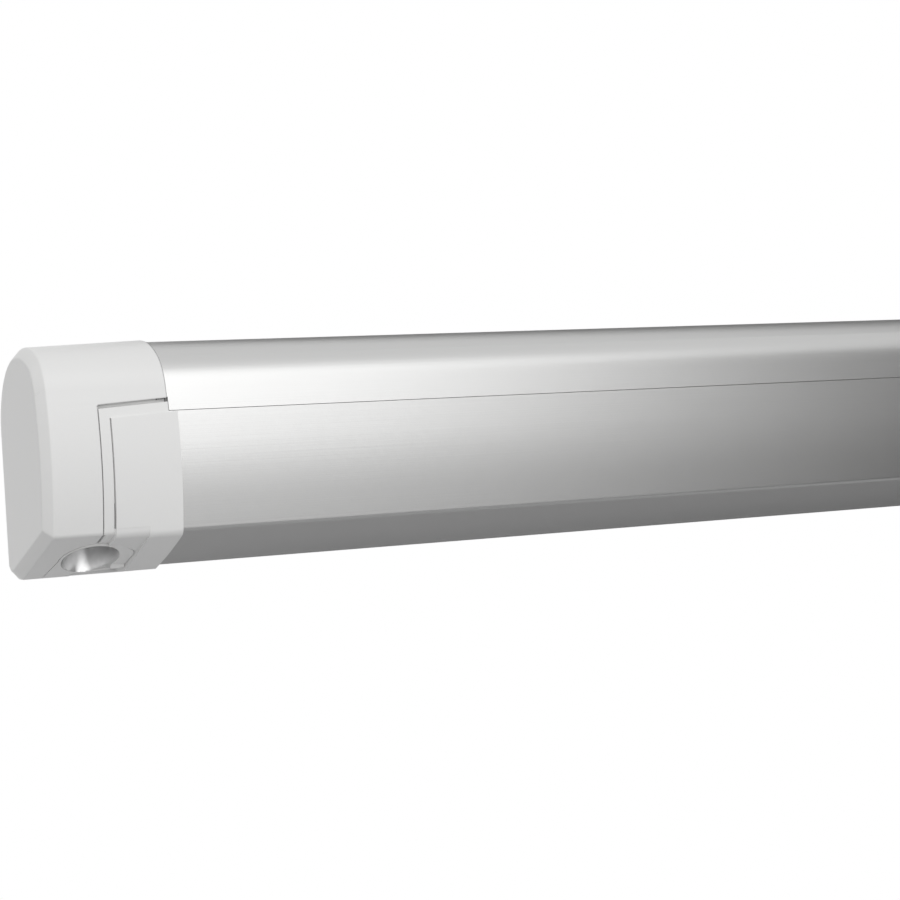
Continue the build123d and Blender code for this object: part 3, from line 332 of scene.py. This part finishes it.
def foam_block(name, mirror_side):
    """A block of foam with soft edges, at the right end, or mirrored to the left one."""
    points = [(mirror_side * x, y, z) for x in (foam_low[0], foam_high[0])
              for y in (foam_low[1], foam_high[1]) for z in (foam_low[2], foam_high[2])]
    faces = [(0, 1, 3, 2), (4, 6, 7, 5), (0, 4, 5, 1), (2, 3, 7, 6), (0, 2, 6, 4), (1, 5, 7, 3)]
    if mirror_side < 0:
        faces = [face[::-1] for face in faces]
    block = new_object(name, points, faces)
    soft = block.modifiers.new("soft edges", "BEVEL")
    soft.width = foam_edge_radius
    soft.segments = 3
    apply_modifiers(block)
    return block


foam_grey = moulded("foam_grey", light=(0.50, 0.50, 0.50, 1), dark=(0.42, 0.42, 0.42, 1),
                    roughness=0.85, grain_scale=2600, depth=0.8, specular=0.2)
for side, mirror_side in (("left", -1), ("right", 1)):
    foam = foam_block("corner_foam_" + side, mirror_side)
    foam.data.materials.append(foam_grey)
    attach(foam, "cassette")


# End plates: pressure castings that close the housing and carry the roller in plastic bushes.
# They are left as cast, with a dull skin, and screwed to the housing's ends.
def cast(name, light, dark, roughness):
    """As-cast aluminium: dull, slightly pitted, a little uneven in tone."""
    material, tree, shader = finish(name, light, 0.9, roughness)
    place = tree.node("TexCoord", out="Object")
    skin = tree.noise(place, scale=900.0, detail=5.0, roughness=0.65)
    clouds = tree.noise(place, scale=60.0, detail=3.0)
    tone = 0.45 * skin + 0.55 * clouds
    bump = tree.node("Bump", None, {"Strength": 0.45, "Distance": 0.0003, "Height": skin})
    feed(tree, shader, Base_Color=tree.between(tone, dark, light),
         Roughness=roughness - 0.08 + 0.16 * tone, Normal=bump)
    return material


def both(*names):
    """The left and the right one of each of these nodes."""
    return [name + side for name in names for side in ("_left", "_right")]


raw_casting = cast("raw_casting", light=(0.50, 0.50, 0.50, 1), dark=(0.36, 0.36, 0.37, 1), roughness=0.5)
bush_plastic = moulded("bush_plastic", light=(0.72, 0.71, 0.68, 1), dark=(0.64, 0.63, 0.60, 1),
                       roughness=0.42, grain_scale=800, depth=0.2)
dress(raw_casting, *both("end_plate"))
dress(bush_plastic, "roller_bushes")
dress(bright_steel, "plate_screws", "cap_screws")


# Winding gear: a worm on an upright shaft turns a wheel on the roller's end, in a plastic case.
# The crank hooks into the eye at the foot of the worm's shaft.
case_plastic = moulded("case_plastic", light=(0.06, 0.06, 0.063, 1), dark=(0.04, 0.04, 0.042, 1),
                       roughness=0.5, grain_scale=900, depth=0.35)
wheel_nylon = moulded("wheel_nylon", light=(0.10, 0.10, 0.10, 1), dark=(0.06, 0.06, 0.06, 1),
                      roughness=0.4, grain_scale=700, depth=0.2)
dark_steel = plated("dark_steel", light=(0.34, 0.34, 0.34, 1), dark=(0.22, 0.22, 0.23, 1), roughness=0.36)
dress(case_plastic, "gearbox_case", "gearbox_cover")
dress(wheel_nylon, "worm_wheel")
dress(dark_steel, "worm_shaft", "crank_eye")


# Roller: a thin steel tube, zinc coated, which the cloth winds on.
# A plastic plug with a steel shaft is pressed into each end.
galvanised = plated("galvanised", light=(0.55, 0.56, 0.57, 1), dark=(0.36, 0.37, 0.38, 1), roughness=0.42)
dress(galvanised, "roller_tube")
dress(case_plastic, *both("roller_plug"))


# Cloth: one length of coated polyester, woven, grey with broad soft stripes along its travel.
# All but a hand's breadth is wound on the roller when the awning is shut. A plastic rod in its hem
# holds it in the lead rail.
thread_pitch = 0.0009
cloth_thickness = 0.0005


def woven(name, light, dark, stripe):
    """Woven cloth: crossing threads, with a light and a dark stripe in each width of this size."""
    material, tree, shader = finish(name, light, 0.0, 0.72, 0.3)
    place = tree.node("TexCoord", out="Object")
    across = tree.node("SeparateXYZ", None, {0: place}, out="X")
    outward = tree.node("SeparateXYZ", None, {0: place}, out="Y")
    warp = tree.maths("SINE", across * (tau / thread_pitch))
    weft = tree.maths("SINE", outward * (tau / thread_pitch))
    band = tree.maths("SINE", across * (tau / stripe))
    edge = tree.node("MapRange", {"interpolation_type": "SMOOTHSTEP"},
                     {"Value": band, "From Min": -0.03, "From Max": 0.03})
    fibre = tree.noise(place, scale=700.0, detail=3.0)
    tone = 0.8 * edge + 0.2 * fibre
    height = warp * weft + 0.6 * fibre
    bump = tree.node("Bump", None, {"Strength": 0.5, "Distance": 0.0002, "Height": height})
    feed(tree, shader, Base_Color=tree.between(tone, dark, light),
         Roughness=0.66 + 0.12 * fibre, Normal=bump)
    return material


awning_cloth = woven("awning_cloth", light=(0.42, 0.43, 0.44, 1), dark=(0.30, 0.31, 0.32, 1), stripe=0.22)
roll_low, roll_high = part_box("fabric_roll")
half_cloth = roll_high.x
roll_y = (roll_low.y + roll_high.y) / 2
roll_z = (roll_low.z + roll_high.z) / 2
roll_radius = (roll_high.z - roll_low.z) / 2 - cloth_thickness / 2
tube_low, tube_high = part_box("roller_tube")
tube_radius = (tube_high.z - tube_low.z) / 2 + cloth_thickness / 2


def strip(name, line, columns):
    """A single sheet that follows a line in the end view, across the cloth's width."""
    points = []
    for y, z in line:
        for c in range(columns + 1):
            points.append((-half_cloth + 2 * half_cloth * c / columns, y, z))
    faces = []
    for row in range(len(line) - 1):
        for c in range(columns):
            first = row * (columns + 1) + c
            faces.append((first, first + 1, first + columns + 2, first + columns + 1))
    return new_object(name, points, faces)


def thicken(piece, thickness):
    """Gives a sheet its thickness, half to each side."""
    solid = piece.modifiers.new("thickness", "SOLIDIFY")
    solid.thickness = thickness
    solid.offset = 0
    apply_modifiers(piece)


turns = (roll_radius - tube_radius) / cloth_thickness
points_to_a_turn = 72
steps = int(turns * points_to_a_turn)
leaves_roll_at = radians(-98)
cloth_in_a_turn_share = 0.86
spiral = []
for k in range(steps + 1):
    radius = tube_radius + (roll_radius - tube_radius) * k / steps
    angle = leaves_roll_at - tau * turns * (1 - k / steps)
    spiral.append((roll_y - radius * cos(angle), roll_z + radius * sin(angle)))
cloth_wound = strip("cloth_wound", spiral, columns=4)
thicken(cloth_wound, cloth_thickness * cloth_in_a_turn_share)
cloth_wound.data.materials.append(awning_cloth)
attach(cloth_wound, "roller")
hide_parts("fabric_roll")

run_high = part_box("fabric_run")[1]
hem_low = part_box("fabric_hem")[0]
free_start = Vector((0, run_high.y, run_high.z - cloth_thickness / 2))
free_end = Vector((0, hem_low.y, hem_low.z + cloth_thickness / 2))
free_rows = 12
free_line = []
for k in range(free_rows + 1):
    point = free_start.lerp(free_end, k / free_rows)
    free_line.append((point.y, point.z))
cloth_free = strip("cloth_free", free_line, columns=60)
thicken(cloth_free, cloth_thickness)
cloth_free.data.materials.append(awning_cloth)
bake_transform(cloth_free)
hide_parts("fabric_run", "fabric_hem")

keder_plastic = moulded("keder_plastic", light=(0.80, 0.80, 0.78, 1), dark=(0.74, 0.74, 0.72, 1),
                        roughness=0.4, grain_scale=700, depth=0.15)
dress(keder_plastic, "keder_rod")


# Folding arms: rectangular tubes with cast ends, pinned at shoulder, elbow and wrist.
# A long spring inside each upper tube pushes the arm open and keeps the cloth tight.
carried_by = {node: body for body, held in frame["record"]["behaviour"]["bodies"].items() for node in held}
weld_distance = 2e-6
flat_within = radians(0.6)
sharp_beyond = radians(28)
spike_share = 0.9


def rounded(material, slot, radius, *names):
    """Stand-ins for CAD nodes with their sharp edges rounded over, or left sharp at a radius of 0."""
    for name in names:
        work = bmesh.new()
        work.from_mesh(nodes[name].data)
        bmesh.ops.remove_doubles(work, verts=work.verts, dist=weld_distance)
        if radius:
            bmesh.ops.dissolve_limit(work, angle_limit=flat_within, verts=work.verts, edges=work.edges)
        work.verts.index_update()
        points = [vert.co.copy() for vert in work.verts]
        faces = [[vert.index for vert in face.verts] for face in work.faces]
        work.free()
        skin = BVHTree.FromPolygons(points, faces)
        piece = new_object(name + "_moulding", points, faces)
        mark_edges(piece, to_round=radius > 0)
        if radius:
            round_edges(piece, radius, skin)
        flat = piece.modifiers.new("flat faces stay flat", "WEIGHTED_NORMAL")
        flat.keep_sharp = True
        apply_modifiers(piece)
        piece.data.materials.append(material)
        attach(piece, carried_by[name])
        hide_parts(name)
    return piece


def mark_edges(piece, to_round):
    """Weights the sharp edges of a piece for rounding, or marks them to be shaded as sharp."""
    work = bmesh.new()
    work.from_mesh(piece.data)
    weight = work.edges.layers.float.new("bevel_weight_edge")
    for edge in work.edges:
        sharp = edge.calc_face_angle(0) > sharp_beyond
        edge[weight] = float(sharp)
        edge.smooth = to_round or not sharp
    work.to_mesh(piece.data)
    work.free()


def round_edges(piece, radius, skin):
    """Rounds the weighted edges. A point that lands too far from the skin is a spike and goes back."""
    bevel = piece.modifiers.new("rounding", "BEVEL")
    bevel.width = radius
    bevel.segments = 2
    bevel.limit_method = "WEIGHT"
    bevel.use_clamp_overlap = False
    bevel.miter_outer = "MITER_ARC"
    apply_modifiers(piece)
    for vert in piece.data.vertices:
        place, _, _, away = skin.find_nearest(vert.co)
        if away > spike_share * radius:
            vert.co = place


arm_silver = extruded("arm_silver", light=(0.58, 0.58, 0.59, 1), dark=(0.48, 0.48, 0.49, 1),
                      roughness=0.34, streaks=1100, depth=0.4)
arm_casting = cast("arm_casting", light=(0.56, 0.56, 0.57, 1), dark=(0.42, 0.42, 0.43, 1), roughness=0.44)
dress(arm_silver, *both("upper_arm", "forearm"))
rounded(arm_casting, "cast_aluminium", 0.0008, *both(
    "shoulder_knuckle", "elbow_fork", "elbow_lug", "wrist_lug", "shoulder_bracket"))
rounded(arm_casting, "cast_aluminium", 0.0006, "wrist_brackets")
dress(bright_steel, "shoulder_pins", "wrist_pins", *both("elbow_pin"))


def wire_along(name, path, radius, sides):
    """A round wire that follows a path of points."""
    points = []
    normal = Vector((0, 0, 1))
    for k, place in enumerate(path):
        run = (path[min(k + 1, len(path) - 1)] - path[max(k - 1, 0)]).normalized()
        normal = (normal - run * run.dot(normal)).normalized()
        beside = run.cross(normal)
        for side in range(sides):
            turn = tau * side / sides
            points.append(place + radius * (cos(turn) * normal + sin(turn) * beside))
    faces = [tuple(range(sides)), tuple(range(len(points) - 1, len(points) - 1 - sides, -1))]
    for k in range(len(path) - 1):
        for side in range(sides):
            first, second = k * sides + side, k * sides + (side + 1) % sides
            faces.append((second, first, first + sides, second + sides))
    return new_object(name, points, faces)


def eye_points(x, middle, radius, angles):
    """The points of the eye at a spring's end, at these angles in degrees round its middle."""
    return [Vector((x + radius * cos(radians(angle)), middle.y, middle.z + radius * sin(radians(angle))))
            for angle in angles]


spring_wire = 0.0016
spring_pitch = 0.0024
spring_eye = 0.010
points_to_a_coil = 10
wire_sides = 6
for side in ("_left", "_right"):
    low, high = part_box("arm_spring" + side)
    middle = (low + high) / 2
    coil_radius = (high.z - low.z - spring_wire) / 2
    eye_radius = (spring_eye - spring_wire) / 2
    path = eye_points(low.x + spring_eye / 2, middle, eye_radius, range(60, 360, 30))
    coil_length = high.x - low.x - 2 * spring_eye
    for k in range(int(coil_length / spring_pitch) * points_to_a_coil + 1):
        turn = tau * k / points_to_a_coil
        path.append(Vector((low.x + spring_eye + spring_pitch * k / points_to_a_coil,
                            middle.y + coil_radius * cos(turn), middle.z + coil_radius * sin(turn))))
    path += eye_points(high.x - spring_eye / 2, middle, eye_radius, range(210, -90, -30))
    spring = wire_along("spring_coil" + side, path, spring_wire / 2, wire_sides)
    spring.data.materials.append(dark_steel)
    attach(spring, "upper" + side)
    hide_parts("arm_spring" + side)


# Lead rail: the second long extrusion, with the same satin silver skin as the housing.
# It carries the arms, the cloth's hem and the legs.
dress(satin_silver, "lead_rail")


# Caps: light grey moulded plastic over both ends of the housing and of the lead rail.
# The left rail cap is kept sharp, because rounding leaves streaks where its panel bends.
cap_grey = moulded("cap_grey", light=(0.83, 0.83, 0.824, 1), dark=(0.78, 0.78, 0.774, 1),
                   roughness=0.38, grain_scale=1800, depth=0.12)
rounded(cap_grey, "grey_plastic", 0.0007, *both("end_cap"))
rounded(cap_grey, "grey_plastic", 0, "rail_cap_left")
rounded(cap_grey, "grey_plastic", 0.0003, "rail_cap_right")


# Crank funnel: a moulded insert in the left cap's floor, square to that floor's slope.
# Its throat is plated and guides the crank's hook.
funnel = rounded(cap_grey, "grey_plastic", 0, "crank_funnel")
funnel_chrome = plated("funnel_chrome", light=(0.80, 0.80, 0.80, 1), dark=(0.72, 0.72, 0.72, 1),
                       roughness=0.3)
funnel.data.materials.append(funnel_chrome)
mouth = Vector((-1.2645, -0.0449, -0.0503))
floor_slope = radians(21.8)
inward = Vector((0, sin(floor_slope), cos(floor_slope)))
rim_depth = 0.0005
throat_radius = 0.0265
facing_share = 0.5
for face in funnel.data.polygons:
    reach = Vector(face.center) - mouth
    depth = reach.dot(inward)
    aside = reach - inward * depth
    faces_in = face.normal.dot(aside.normalized()) < -facing_share
    if depth > rim_depth and aside.length < throat_radius and faces_in:
        face.material_index = 1


# Support legs: flat oval tubes that fold up into the lead rail, each with a collar, a clamp knob,
# a sliding inner tube and a hinged foot.
leg_silver = extruded("leg_silver", light=(0.56, 0.56, 0.57, 1), dark=(0.46, 0.46, 0.47, 1),
                      roughness=0.36, streaks=1200, depth=0.4)
leg_black = moulded("leg_black", light=(0.05, 0.05, 0.052, 1), dark=(0.03, 0.03, 0.032, 1),
                    roughness=0.46, grain_scale=900, depth=0.3)
dress(leg_silver, *both("leg_tube", "leg_inner"))
rounded(leg_black, "dark_plastic", 0.0005, *both("leg_collar", "leg_foot", "leg_knob"))
dress(mill_aluminium, "leg_brackets")
dress(bright_steel, "leg_pins")
